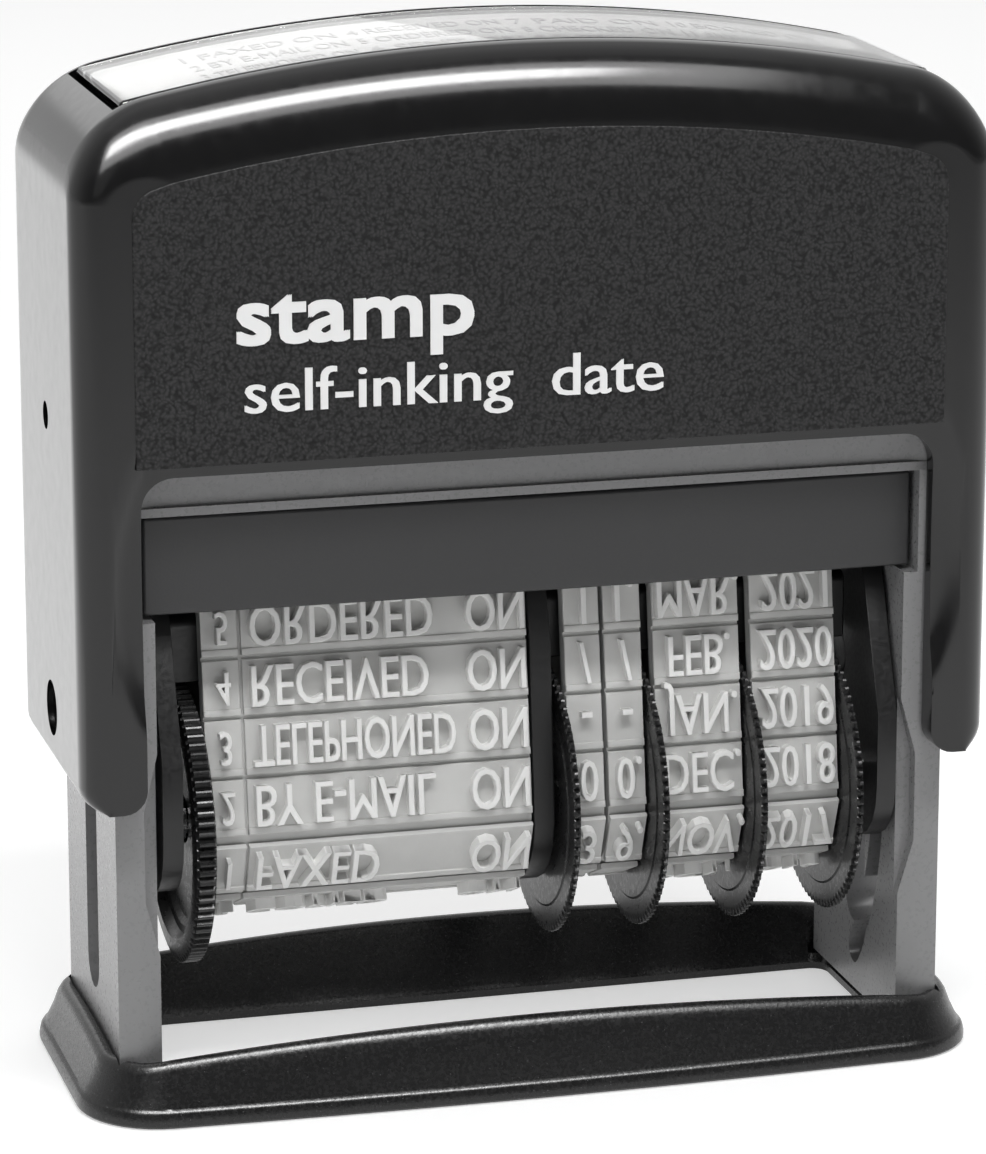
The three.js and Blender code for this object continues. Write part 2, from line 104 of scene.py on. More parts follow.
class STAMP_PG_housing(bpy.types.PropertyGroup):
    crown_radius: length_prop("Crown radius", "Radius of the arched top, mm", 125.0)
    corner_radius: length_prop("Corner radius", "Radius of the upper corners, mm", 6.5)
    roll_depth: length_prop("Shoulder depth", "Depth of the shoulder roll, mm", 3.7)
    roll_height: length_prop("Shoulder height", "Height of the shoulder roll, mm", 5.6)
    edge_radius: length_prop("Edge radius", "Radius of the upright edges, mm", 2.3)
    wall: length_prop("Wall", "Wall thickness of the skirts, mm", 2.0)
    grip_depth: length_prop("Grip depth", "Depth of the finger hollow on each skirt, mm", 0.85)
    panel_rise: length_prop("Panel rise", "How far the grained panel stands proud, mm", 0.12)
    colour: colour_prop("Colour", "Housing plastic", (0.005, 0.005, 0.0053))
    panel_colour: colour_prop("Panel colour", "Grained panel", (0.027, 0.027, 0.0275))


class STAMP_PG_frame(bpy.types.PropertyGroup):
    edge: length_prop("Edge rounding", "Rounding of moulded edges, mm", 0.16)
    grey: colour_prop("Frame grey", "Lower frame plastic", (0.215, 0.215, 0.218))
    foot: colour_prop("Foot black", "Foot ring plastic", (0.008, 0.008, 0.0083))
    tray: colour_prop("Tray black", "Ink tray plastic", (0.024, 0.024, 0.025))


class STAMP_PG_bands(bpy.types.PropertyGroup):
    pitch_count: bpy.props.IntProperty(name="Rows", description="Type rows round a band", default=13, min=4)
    groove: length_prop("Groove", "Gap between two type rows, mm", 0.26)
    relief: length_prop("Relief", "Height of the letters above their tile, mm", 0.78)
    letter: length_prop("Letter height", "Height of the capitals, mm", 2.95)
    # The rubber colour is darker than the type colour: painted shade in the recesses between the letters.
    colour: colour_prop("Colour", "Moulded band rubber", (0.56, 0.56, 0.55))
    type_colour: colour_prop("Type colour", "Faces of the raised type", (0.80, 0.80, 0.79))


class STAMP_PG_wheels(bpy.types.PropertyGroup):
    teeth: bpy.props.IntProperty(name="Teeth", description="Knurl teeth round a thumbwheel", default=88, min=12)
    tooth_depth: length_prop("Tooth depth", "Depth of the knurl, mm", 0.42)
    colour: colour_prop("Colour", "Thumbwheel plastic", (0.006, 0.006, 0.0063))


class STAMP_PG_stage(bpy.types.PropertyGroup):
    floor_colour: colour_prop("Floor", "Pale floor", (0.70, 0.70, 0.70))
    lens: bpy.props.FloatProperty(name="Lens", description="Camera focal length", default=160.0, min=10.0, unit="CAMERA")
    azimuth: bpy.props.FloatProperty(name="Azimuth", description="Camera direction about the upright axis",
                                     default=math.radians(-15.04), subtype="ANGLE", unit="ROTATION")
    elevation: bpy.props.FloatProperty(name="Elevation", description="Camera height above the horizon",
                                       default=math.radians(14.40), subtype="ANGLE", unit="ROTATION")


# ---- shader groups -------------------------------------------------------------

def new_group(name, inputs, outputs):
    """An empty shader group with named float inputs (name, default) and outputs (name, socket type)."""
    group = bpy.data.node_groups.new(name, "ShaderNodeTree")
    group.interface.new_socket("Vector", in_out="INPUT", socket_type="NodeSocketVector")
    for label, default in inputs:
        group.interface.new_socket(label, in_out="INPUT", socket_type="NodeSocketFloat").default_value = default
    for label, kind in outputs:
        group.interface.new_socket(label, in_out="OUTPUT", socket_type=kind)
    return group, group.nodes.new("NodeGroupInput"), group.nodes.new("NodeGroupOutput")


def node(tree, kind, links=(), **settings):
    """Adds a node; links are (input name or index, output socket or value)."""
    made = tree.nodes.new(kind)
    for key, value in settings.items():
        setattr(made, key, value)
    for key, value in links:
        if isinstance(value, bpy.types.NodeSocket):
            tree.links.new(value, made.inputs[key])
        else:
            made.inputs[key].default_value = value
    return made


def moulded_group():
    """Moulded plastic: fine grain, slow tone drift and small pale dots in the colour, which where strong are painted
    glints.
    """
    inputs = [("Grain scale", 4000.0), ("Grain depth", 0.3), ("Drift scale", 60.0), ("Drift", 0.1),
              ("Rough low", 0.3), ("Rough high", 0.4), ("Specks and glints", 0.0)]
    outputs = [("Tone", "NodeSocketFloat"), ("Roughness", "NodeSocketFloat"), ("Height", "NodeSocketFloat")]
    g, enter, leave = new_group("moulded_surface", inputs, outputs)
    grain = node(g, "ShaderNodeTexNoise", [("Vector", enter.outputs["Vector"]), ("Scale", enter.outputs["Grain scale"]),
                                           ("Detail", 3.0), ("Roughness", 0.6)])
    drift = node(g, "ShaderNodeTexNoise", [("Vector", enter.outputs["Vector"]), ("Scale", enter.outputs["Drift scale"]),
                                           ("Detail", 2.0)])
    centred = node(g, "ShaderNodeMath", [(0, drift.outputs["Fac"]), (1, 0.5)], operation="SUBTRACT")
    tone = node(g, "ShaderNodeMath", [(0, centred.outputs[0]), (1, enter.outputs["Drift"]), (2, 1.0)],
                operation="MULTIPLY_ADD")
    dots = node(g, "ShaderNodeTexVoronoi", [("Vector", enter.outputs["Vector"]), ("Scale", 2600.0)])
    peak = node(g, "ShaderNodeMapRange", [("Value", dots.outputs["Distance"]), ("From Min", 0.10), ("From Max", 0.02),
                                          ("To Min", 0.0), ("To Max", 1.0)])
    # Pale dots added to the colour: faint specks, and where strong, painted glints.
    speck_and_glint = node(g, "ShaderNodeMath", [(0, peak.outputs[0]), (1, enter.outputs["Specks and glints"])], operation="MULTIPLY")
    bright = node(g, "ShaderNodeMath", [(0, tone.outputs[0]), (1, speck_and_glint.outputs[0])], operation="ADD")
    rough = node(g, "ShaderNodeMapRange", [("Value", grain.outputs["Fac"]), ("From Min", 0.3), ("From Max", 0.7),
                                           ("To Min", enter.outputs["Rough low"]), ("To Max", enter.outputs["Rough high"])])
    height = node(g, "ShaderNodeMath", [(0, grain.outputs["Fac"]), (1, enter.outputs["Grain depth"])], operation="MULTIPLY")
    g.links.new(bright.outputs[0], leave.inputs["Tone"])
    g.links.new(rough.outputs[0], leave.inputs["Roughness"])
    g.links.new(height.outputs[0], leave.inputs["Height"])
    return g


def leather_group():
    """Eroded leather grain, as cut into a mould: pebbles with fine creases between them."""
    inputs = [("Scale", 1500.0), ("Depth", 1.0), ("Rough low", 0.3), ("Rough high", 0.6)]
    outputs = [("Tone", "NodeSocketFloat"), ("Roughness", "NodeSocketFloat"), ("Height", "NodeSocketFloat")]
    g, enter, leave = new_group("leather_grain", inputs, outputs)
    bend = node(g, "ShaderNodeTexNoise", [("Vector", enter.outputs["Vector"]), ("Scale", 900.0), ("Detail", 2.0)])
    shift = node(g, "ShaderNodeVectorMath", [(0, bend.outputs["Color"]), (1, (0.0006, 0.0006, 0.0006))], operation="MULTIPLY")
    moved = node(g, "ShaderNodeVectorMath", [(0, enter.outputs["Vector"]), (1, shift.outputs[0])], operation="ADD")
    cells = node(g, "ShaderNodeTexVoronoi", [("Vector", moved.outputs[0]), ("Scale", enter.outputs["Scale"])],
                 feature="SMOOTH_F1")
    fine = node(g, "ShaderNodeTexNoise", [("Vector", enter.outputs["Vector"]), ("Scale", 3800.0), ("Detail", 4.0)])
    pebble = node(g, "ShaderNodeMapRange", [("Value", cells.outputs["Distance"]), ("From Min", 0.15), ("From Max", 0.65),
                                            ("To Min", 1.0), ("To Max", 0.0)])
    mixed = node(g, "ShaderNodeMath", [(0, fine.outputs["Fac"]), (1, 0.8), (2, pebble.outputs[0])], operation="MULTIPLY_ADD")
    height = node(g, "ShaderNodeMath", [(0, mixed.outputs[0]), (1, enter.outputs["Depth"])], operation="MULTIPLY")
    # The tone follows the height: the creases are painted darker and the pebble tops lighter, painted shade of the
    # grain.
    tone = node(g, "ShaderNodeMapRange", [("Value", mixed.outputs[0]), ("From Min", 0.3), ("From Max", 1.4),
                                          ("To Min", 0.30), ("To Max", 1.55)])
    rough = node(g, "ShaderNodeMapRange", [("Value", mixed.outputs[0]), ("From Min", 0.3), ("From Max", 1.4),
                                           ("To Min", enter.outputs["Rough high"]), ("To Max", enter.outputs["Rough low"])])
    g.links.new(tone.outputs[0], leave.inputs["Tone"])
    g.links.new(rough.outputs[0], leave.inputs["Roughness"])
    g.links.new(height.outputs[0], leave.inputs["Height"])
    return g


def surface_material(name, group, colour, values, bump=0.1, bump_distance=0.0001, settings=()):
    """A plastic, rubber or metal whose colour, roughness and bump come from a shader group."""
    mat = bpy.data.materials.new(name)
    mat.use_nodes = True
    tree = mat.node_tree
    shader = tree.nodes["Principled BSDF"]
    place = node(tree, "ShaderNodeTexCoord")
    effect = node(tree, "ShaderNodeGroup", node_tree=group)
    tree.links.new(place.outputs["Object"], effect.inputs["Vector"])
    for key, value in values.items():
        effect.inputs[key].default_value = value
    tint = node(tree, "ShaderNodeVectorMath", [(0, tuple(colour)), (1, effect.outputs["Tone"])], operation="MULTIPLY")
    relief = node(tree, "ShaderNodeBump", [("Height", effect.outputs["Height"]), ("Strength", bump),
                                           ("Distance", bump_distance)])
    tree.links.new(tint.outputs[0], shader.inputs["Base Color"])
    tree.links.new(effect.outputs["Roughness"], shader.inputs["Roughness"])
    tree.links.new(relief.outputs["Normal"], shader.inputs["Normal"])
    for key, value in settings:
        shader.inputs[key].default_value = value
    mat.diffuse_color = (*colour, 1.0)
    return mat


def window_material():
    """Clear moulded plastic with faint wipe marks."""
    mat = bpy.data.materials.new("window_clear")
    mat.use_nodes = True
    tree = mat.node_tree
    shader = tree.nodes["Principled BSDF"]
    place = node(tree, "ShaderNodeTexCoord")
    marks = node(tree, "ShaderNodeTexNoise", [("Vector", place.outputs["Object"]), ("Scale", 350.0), ("Detail", 4.0)])
    rough = node(tree, "ShaderNodeMapRange", [("Value", marks.outputs["Fac"]), ("From Min", 0.35), ("From Max", 0.7),
                                              ("To Min", 0.0), ("To Max", 0.03)])
    tree.links.new(rough.outputs[0], shader.inputs["Roughness"])
    shader.inputs["Base Color"].default_value = (0.97, 0.97, 0.97, 1.0)
    shader.inputs["Transmission Weight"].default_value = 1.0
    shader.inputs["IOR"].default_value = 1.49
    return mat


FINISH = {}


def make_finishes(scene):
    """Every finish of the stamp, by the record's slot names and a few parts of them."""
    box, body = scene.stamp_housing, scene.stamp_frame
    moulded, leather = moulded_group(), leather_group()
    plain = {"Grain scale": 3000.0, "Grain depth": 0.5, "Drift scale": 70.0, "Drift": 0.14}
    FINISH["housing_black"] = surface_material(
        "housing_black", moulded, box.colour,
        {**plain, "Grain scale": 900.0, "Rough low": 0.12, "Rough high": 0.18, "Specks and glints": 0.1}, bump=0.012,
        settings=[("IOR", 1.5)])
    FINISH["housing_satin"] = surface_material(
        "housing_satin", moulded, box.panel_colour,
        {**plain, "Grain scale": 4500.0, "Rough low": 0.30, "Rough high": 0.42}, bump=0.10,
        settings=[("IOR", 1.5)])
    # The grain's creases are painted darker than its pebble tops, as painted shade.
    FINISH["panel_grain"] = surface_material(
        "panel_grain", leather, box.panel_colour, {"Scale": 4600.0, "Depth": 1.0, "Rough low": 0.32, "Rough high": 0.55},
        bump=0.45, bump_distance=0.00007,
        settings=[("IOR", 1.5), ("Specular IOR Level", 0.17)])
    FINISH["frame_grey"] = surface_material(
        "frame_grey", moulded, body.grey, {**plain, "Rough low": 0.24, "Rough high": 0.36, "Drift": 0.10}, bump=0.03)
    # Strong pale dots in the foot's colour are painted glints, standing for the sparkle along its ridge.
    FINISH["foot_black"] = surface_material(
        "foot_black", moulded, body.foot,
        {**plain, "Grain scale": 4200.0, "Rough low": 0.18, "Rough high": 0.34, "Specks and glints": 26.0}, bump=0.30)
    FINISH["tray_black"] = surface_material(
        "tray_black", moulded, body.tray, {**plain, "Grain scale": 5200.0, "Rough low": 0.34, "Rough high": 0.50}, bump=0.20)
    FINISH["ink_felt"] = surface_material(
        "ink_felt", moulded, (0.012, 0.012, 0.02),
        {"Grain scale": 2500.0, "Grain depth": 1.0, "Rough low": 0.7, "Rough high": 0.95}, bump=0.8,
        settings=[("Sheen Weight", 0.3)])
    FINISH["unit_black"] = surface_material(
        "unit_black", moulded, (0.005, 0.005, 0.0053), {**plain, "Rough low": 0.30, "Rough high": 0.44}, bump=0.08)
    FINISH["wheel_black"] = surface_material(
        "wheel_black", moulded, scene.stamp_wheels.colour, {**plain, "Rough low": 0.24, "Rough high": 0.38}, bump=0.08)
    # The band rubber is painted darker than the type faces, as painted shade in the recesses round the letters.
    FINISH["band_white"] = surface_material(
        "band_white", moulded, scene.stamp_bands.colour,
        {**plain, "Grain scale": 2600.0, "Drift scale": 320.0, "Drift": 0.22, "Rough low": 0.42, "Rough high": 0.6},
        bump=0.16, settings=[("IOR", 1.45)])
    FINISH["type_white"] = surface_material(
        "type_white", moulded, scene.stamp_bands.type_colour,
        {**plain, "Grain scale": 2600.0, "Drift scale": 320.0, "Drift": 0.16, "Rough low": 0.42, "Rough high": 0.6},
        bump=0.16, settings=[("IOR", 1.45)])
    FINISH["card_white"] = surface_material(
        "card_white", moulded, (0.50, 0.50, 0.49), {**plain, "Rough low": 0.7, "Rough high": 0.85, "Drift": 0.05}, bump=0.05)
    FINISH["print_grey"] = surface_material(
        "print_grey", moulded, (0.03, 0.03, 0.03), {**plain, "Rough low": 0.5, "Rough high": 0.6}, bump=0.02)
    FINISH["print_white"] = surface_material(
        "print_white", moulded, (0.86, 0.86, 0.86), {**plain, "Rough low": 0.35, "Rough high": 0.5, "Drift": 0.06}, bump=0.05)
    FINISH["pin_steel"] = surface_material(
        "pin_steel", moulded, (0.55, 0.55, 0.56), {**plain, "Rough low": 0.18, "Rough high": 0.32}, bump=0.03,
        settings=[("Metallic", 1.0)])
    FINISH["spring_steel"] = surface_material(
        "spring_steel", moulded, (0.60, 0.60, 0.61), {**plain, "Rough low": 0.2, "Rough high": 0.35}, bump=0.03,
        settings=[("Metallic", 1.0)])
    FINISH["window_clear"] = window_material()


# ---- mesh helpers -----------------------------------------------------------------

def arc(cu, cv, r, a, b, steps):
    """Points on an arc from angle a to angle b, ends included."""
    return [(cu + r * math.cos(a + (b - a) * i / steps), cv + r * math.sin(a + (b - a) * i / steps))
            for i in range(steps + 1)]


def rounded(hu, hv, r, steps):
    """A rounded rectangle, anticlockwise from the bottom right corner."""
    corners = [(hu - r, -hv + r, -PI / 2), (hu - r, hv - r, 0), (-hu + r, hv - r, PI / 2), (-hu + r, -hv + r, PI)]
    return [p for cu, cv, a in corners for p in arc(cu, cv, r, a, a + PI / 2, steps)]


def skin(bm, loops, around=False):
    """Closed skin: the first loop is drawn, then extruded on to each next one, and both ends are filled.

    With around, the last loop is joined back to the first instead.
    """
    station = bm.verts.layers.int.get("station") or bm.verts.layers.int.new("station")
    verts = [bm.verts.new(p) for p in loops[0]]
    for i, v in enumerate(verts):
        v[station] = i
    first = edges = [bm.edges.new((a, b)) for a, b in zip(verts, verts[1:] + verts[:1])]
    for loop in loops[1:]:
        grown = bmesh.ops.extrude_edge_only(bm, edges=edges)["geom"]
        fresh = [g for g in grown if isinstance(g, bmesh.types.BMVert)]
        for v in fresh:
            v.co = loop[v[station]]
        known = set(fresh)
        edges = [g for g in grown if isinstance(g, bmesh.types.BMEdge) and set(g.verts) <= known]
    if around:
        bmesh.ops.bridge_loops(bm, edges=first + edges)
    else:
        bmesh.ops.contextual_create(bm, geom=first)
        bmesh.ops.contextual_create(bm, geom=edges)
    bmesh.ops.recalc_face_normals(bm, faces=bm.faces)


def prism(bm, outline, low, high, axis):
    """An outline in the two other axes, pushed along axis from low to high."""
    def at(p, w):
        return {"x": (w, *p), "y": (p[0], w, p[1]), "z": (*p, w)}[axis]
    skin(bm, [[at(p, low) for p in outline], [at(p, high) for p in outline]])


def box(bm, low, high):
    """A plain block between two corners."""
    made = bmesh.ops.create_cube(bm, size=1.0)["verts"]
    size, centre = Vector(high) - Vector(low), (Vector(high) + Vector(low)) / 2
    bmesh.ops.scale(bm, vec=size, verts=made)
    bmesh.ops.translate(bm, vec=centre, verts=made)
    return made


def to_object(bm, name, scale=MM):
    """Ends a bmesh drawn in millimetres as an object in metres at the origin."""
    bmesh.ops.recalc_face_normals(bm, faces=bm.faces)
    bmesh.ops.scale(bm, vec=(scale,) * 3, verts=bm.verts)
    mesh = bpy.data.meshes.new(name)
    bm.to_mesh(mesh)
    bm.free()
    made = bpy.data.objects.new(name, mesh)
    bpy.context.scene.collection.objects.link(made)
    return made


def settle(obj):
    """Replaces an object's mesh by the one its modifiers make."""
    graph = bpy.context.evaluated_depsgraph_get()
    mesh = bpy.data.meshes.new_from_object(obj.evaluated_get(graph), depsgraph=graph)
    obj.modifiers.clear()
    obj.data = mesh
    mesh.name = obj.name


def cut(obj, tool_bm, operation="DIFFERENCE"):
    """Cuts obj with a closed bmesh drawn in millimetres."""
    tool = to_object(tool_bm, obj.name + "_tool")
    mod = obj.modifiers.new("cut", "BOOLEAN")
    mod.object, mod.operation, mod.solver = tool, operation, "EXACT"
    settle(obj)
    bpy.data.objects.remove(tool)


def soften(obj, width, segments=2, angle=35.0):
    """Rounds the sharp edges, after merging the flat faces."""
    bm = bmesh.new()
    bm.from_mesh(obj.data)
    bmesh.ops.remove_doubles(bm, verts=bm.verts, dist=2e-6)
    bmesh.ops.dissolve_limit(bm, angle_limit=math.radians(1.0), verts=bm.verts, edges=bm.edges)
    bm.to_mesh(obj.data)
    bm.free()
    mod = obj.modifiers.new("rounding", "BEVEL")
    mod.width, mod.segments, mod.limit_method = width * MM, segments, "ANGLE"
    mod.angle_limit, mod.harden_normals, mod.miter_outer = math.radians(angle), False, "MITER_ARC"
    settle(obj)


def shade(obj, angle=30.0):
    """Smooth shading with sharp edges kept above an angle."""
    bm = bmesh.new()
    bm.from_mesh(obj.data)
    for f in bm.faces:
        f.smooth = True
    for e in bm.edges:
        e.smooth = len(e.link_faces) != 2 or e.calc_face_angle(0.0) < math.radians(angle)
    bm.to_mesh(obj.data)
    bm.free()
    mod = obj.modifiers.new("weighted", "WEIGHTED_NORMAL")
    mod.keep_sharp = True


def finish(obj, body, slot, finishes=None, replaces=()):
    """Gives a piece its finish and joins it to its body."""
    obj.data.materials.clear()
    for key in finishes or [slot]:
        obj.data.materials.append(FINISH[key])
    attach(obj, body)
    if replaces:
        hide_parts(*replaces)
    return obj


def copy_of(node_name, name):
    """A merged copy of a frame node's mesh, as a new object."""
    bm = bmesh.new()
    bm.from_mesh(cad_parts[node_name].data)
    bmesh.ops.remove_doubles(bm, verts=bm.verts, dist=1e-6)
    return to_object(bm, name, 1.0)


def require(test, message):
    if not test:
        raise RuntimeError(message)


# ---- lettering --------------------------------------------------------------------

def lettering(bm, text, height, width, relief, place, align="CENTER", squeeze=1.0, draft=0.0, weight=0.0,
              bold=0.0, heavy=0.0):
    """Adds a word to bm. It is fitted to height and at most width, and placed by a matrix, all in millimetres."""
    curve = bpy.data.curves.new("word", "FONT")
    curve.body, curve.align_x, curve.align_y = text, "LEFT", "BOTTOM_BASELINE"
    curve.size, curve.resolution_u, curve.offset = 1.0, 3, weight
    holder = bpy.data.objects.new("word", curve)
    bpy.context.scene.collection.objects.link(holder)
    graph = bpy.context.evaluated_depsgraph_get()
    mesh = bpy.data.meshes.new_from_object(holder.evaluated_get(graph), depsgraph=graph)
    bpy.data.objects.remove(holder)
    bpy.data.curves.remove(curve)
    word = bmesh.new()
    word.from_mesh(mesh)
    bpy.data.meshes.remove(mesh)
    bmesh.ops.remove_doubles(word, verts=word.verts, dist=1e-4)
    xs = [v.co.x for v in word.verts]
    cap = 0.729  # height of the capitals of the built-in typeface at size 1
    low_x, wide = min(xs), max(xs) - min(xs)
    sx = min(height / cap * squeeze, width / wide)
    start = {"LEFT": 0.0, "CENTER": -wide * sx / 2, "RIGHT": -wide * sx}[align]
    for v in word.verts:
        v.co = Vector(((v.co.x - low_x) * sx + start, (v.co.y / cap - 0.5) * height, 0.0))
    if relief > 0:
        top = bmesh.ops.extrude_face_region(word, geom=word.faces[:])["geom"]
        raised = [g for g in top if isinstance(g, bmesh.types.BMVert)]
        bmesh.ops.translate(word, vec=(0, 0, relief), verts=raised)
        if draft > 0:
            faces = [g for g in top if isinstance(g, bmesh.types.BMFace)]
            bmesh.ops.inset_region(word, faces=faces, thickness=draft, depth=0.0, use_even_offset=True)
            rim = [v for v in raised if v.is_valid]
            bmesh.ops.translate(word, vec=(0, 0, -draft * 0.8), verts=rim)
    made = bpy.data.meshes.new("word")
    word.to_mesh(made)
    word.free()
    shifts = [(-bold, 0, 0), (bold, 0, -0.004)] if bold else [(0, 0, 0)]
    if heavy:
        shifts = [(dx, dy, -0.004 * k) for k, (dx, dy) in enumerate(product((-heavy, 0, heavy), (-heavy, 0, heavy)))]
    for shift in shifts:
        there = place @ Matrix.Translation(shift)
        made.transform(there)
        bm.from_mesh(made)
        made.transform(there.inverted())
    bpy.data.meshes.remove(made)


# ---- foot ring ---------------------------------------------------------------------

class STAMP_OT_foot_ring(bpy.types.Operator):
    """Bowed foot ring with a rounded ridge and sockets for the legs"""
    bl_idname = "stamp.foot_ring"
    bl_label = "Foot ring"

    def execute(self, context):
        half_x, half_y = FOOT_HIGH[0], FOOT_HIGH[1]
        bow, corner_r, open_x, open_y = 0.9, 5.5, 26.5, 8.2
        rail, end = FOOT_HIGH[2], 4.0
        leg_x = span("lower_frame")[1][0]

        def spread(points, long, short):
            out = []
            for p, q in zip(points, points[1:] + points[:1]):
                gap = math.hypot(q[0] - p[0], q[1] - p[1])
                parts = 1 if gap < 4 else long if abs(q[0] - p[0]) > abs(q[1] - p[1]) else short
                out += [(p[0] + (q[0] - p[0]) * k / parts, p[1] + (q[1] - p[1]) * k / parts) for k in range(parts)]
            return out
        outer = [(x, y + math.copysign(bow * math.cos(PI / 2 * x / half_x), y))
                 for x, y in spread(rounded(half_x, half_y - bow, corner_r, 10), 28, 10)]
        inner = spread(rounded(open_x, open_y, 1.2, 10), 28, 10)

        def ridge(x, y):
            along = min(1.0, abs(x) / leg_x)
            side = 0.25 * max(0.0, 1 - (y / 7.5) ** 2) if abs(x) > open_x + 1 else 0.0
            return rail - (rail - end) * along ** 2 + side
        section = [(0.10, 0, 0), (0.03, 0.0, 0.06), (0.0, 0, 0.22), (0.0, 0, 0.55), (0.022, 0, 1.02), (0.05, 0, 1.20),
                   (0.085, 0, 1.32), (0.20, -1.5, 0), (0.265, -0.62, 0), (0.31, -0.26, 0), (0.36, -0.06, 0),
                   (0.41, 0.0, 0), (0.46, -0.05, 0), (0.52, -0.22, 0), (0.60, -0.75, 0), (0.95, 0, 0.85), (1.0, 0, 0.5), (1.0, 0, 0)]
        loops = []
        for t, down, z in section:
            loops.append([(o[0] + (i[0] - o[0]) * t, o[1] + (i[1] - o[1]) * t, ridge(*o) + down if down or 0.4 < t < 0.45 else z)
                          for o, i in zip(outer, inner)])
        bm = bmesh.new()
        skin(bm, loops, around=True)
        ring = to_object(bm, "foot_ring_moulding")
        leg_low, leg_high = span("lower_frame")
        for side in (-1, 1):
            tool = bmesh.new()
            xs = sorted((side * 25.5, side * (leg_high[0] + 0.18)))
            box(tool, (xs[0], leg_low[1] - 0.18, leg_low[2] - 0.25), (xs[1], leg_high[1] + 0.18, 9))
            cut(ring, tool)
        shade(ring, 32)
        finish(ring, "frame", "foot_black", replaces=["foot_ring"])
        return {"FINISHED"}


# ---- lower frame, tray and other pieces kept from the frame -------------------------

class STAMP_OT_frame_pieces(bpy.types.Operator):
    """Lower frame, ink cartridge, type unit carrier and pins, with rounded edges"""
    bl_idname = "stamp.frame_pieces"
    bl_label = "Frame pieces"

    def execute(self, context):
        edge = context.scene.stamp_frame.edge
        rounded_pieces = [
            ("lower_frame", "frame", "frame_grey", edge, 2), ("ink_tray", "frame", "tray_black", 0.22, 3),
            ("left_end_plate", "type_unit", "unit_black", 0.2, 2), ("right_end_plate", "type_unit", "unit_black", 0.2, 2),
            ("band_partition", "type_unit", "unit_black", 0.2, 2), ("platen_bar", "type_unit", "unit_black", 0.1, 1),
            ("left_pivot_pin", "type_unit", "unit_black", 0.3, 3), ("right_pivot_pin", "type_unit", "unit_black", 0.3, 3),
        ]
        for node_name, body, slot, width, segments in rounded_pieces:
            piece = copy_of(node_name, node_name + "_moulding")
            soften(piece, width, segments)
            shade(piece, 40)
            finish(piece, body, slot, replaces=[node_name])
        coil = copy_of("return_spring", "return_spring_coil")
        shade(coil, 60)
        coil.modifiers.clear()
        finish(coil, "frame", "spring_steel", replaces=["return_spring"])
        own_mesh(coil)
        kept = {"ink_pad": "ink_felt", "wheel_axle": "pin_steel",
                "left_cam_follower": "pin_steel", "right_cam_follower": "pin_steel"}
        for node_name, slot in kept.items():
            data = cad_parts[node_name].data
            data.materials.clear()
            data.materials.append(FINISH[slot])
        return {"FINISHED"}


# ---- housing -------------------------------------------------------------------------

def crown_z(x, radius, top=None):
    return (CAP_HIGH[2] if top is None else top) - (radius - math.sqrt(radius ** 2 - x * x))


def housing_outline(s):
    """Front outline of the housing with outward normals, anticlockwise from the bottom right."""
    half_x, bottom, r, lip = CAP_HIGH[0], CAP_LOW[2], s.corner_radius, 1.6
    edge_x = half_x - r + 1.0
    tilt = math.asin(edge_x / s.crown_radius)
    cx, cz = edge_x - r * math.sin(tilt), crown_z(edge_x, s.crown_radius) - r * math.cos(tilt)
    stretch = (half_x - cx) / r
    right = [(half_x - lip + lip * math.cos(t), bottom + lip + lip * math.sin(t), math.cos(t), 0.0)
             for t in [-PI / 2 + PI / 2 * i / 6 for i in range(7)]]
    right += [(half_x, bottom + lip + (cz - bottom - lip) * k / 6, 1.0, 0.0) for k in range(1, 6)]
    for i in range(25):
        t = (PI / 2 - tilt) * i / 24
        right.append((cx + r * math.cos(t) * (1 + (stretch - 1) * math.cos(t)), cz + r * math.sin(t), math.cos(t), math.sin(t)))
    crown = []
    for i in range(1, 60):
        x = edge_x - 2 * edge_x * i / 60
        a = math.asin(x / s.crown_radius)
        crown.append((x, crown_z(x, s.crown_radius), math.sin(a), math.cos(a)))
    left = [(-x, z, -nx, nz) for x, z, nx, nz in reversed(right)]
    return right + crown + left


def housing_inset(s, y, nz):
    """How far the outline is drawn in at depth y."""
    def quarter(width):
        u = max(0.0, (abs(y) - CAP_HIGH[1] + width) / width)
        return 1 - math.sqrt(max(0.0, 1 - u * u))
    side, top = s.edge_radius * quarter(s.edge_radius), s.roll_height * quarter(s.roll_depth)
    return side + (top - side) * max(0.0, nz) ** 1.5


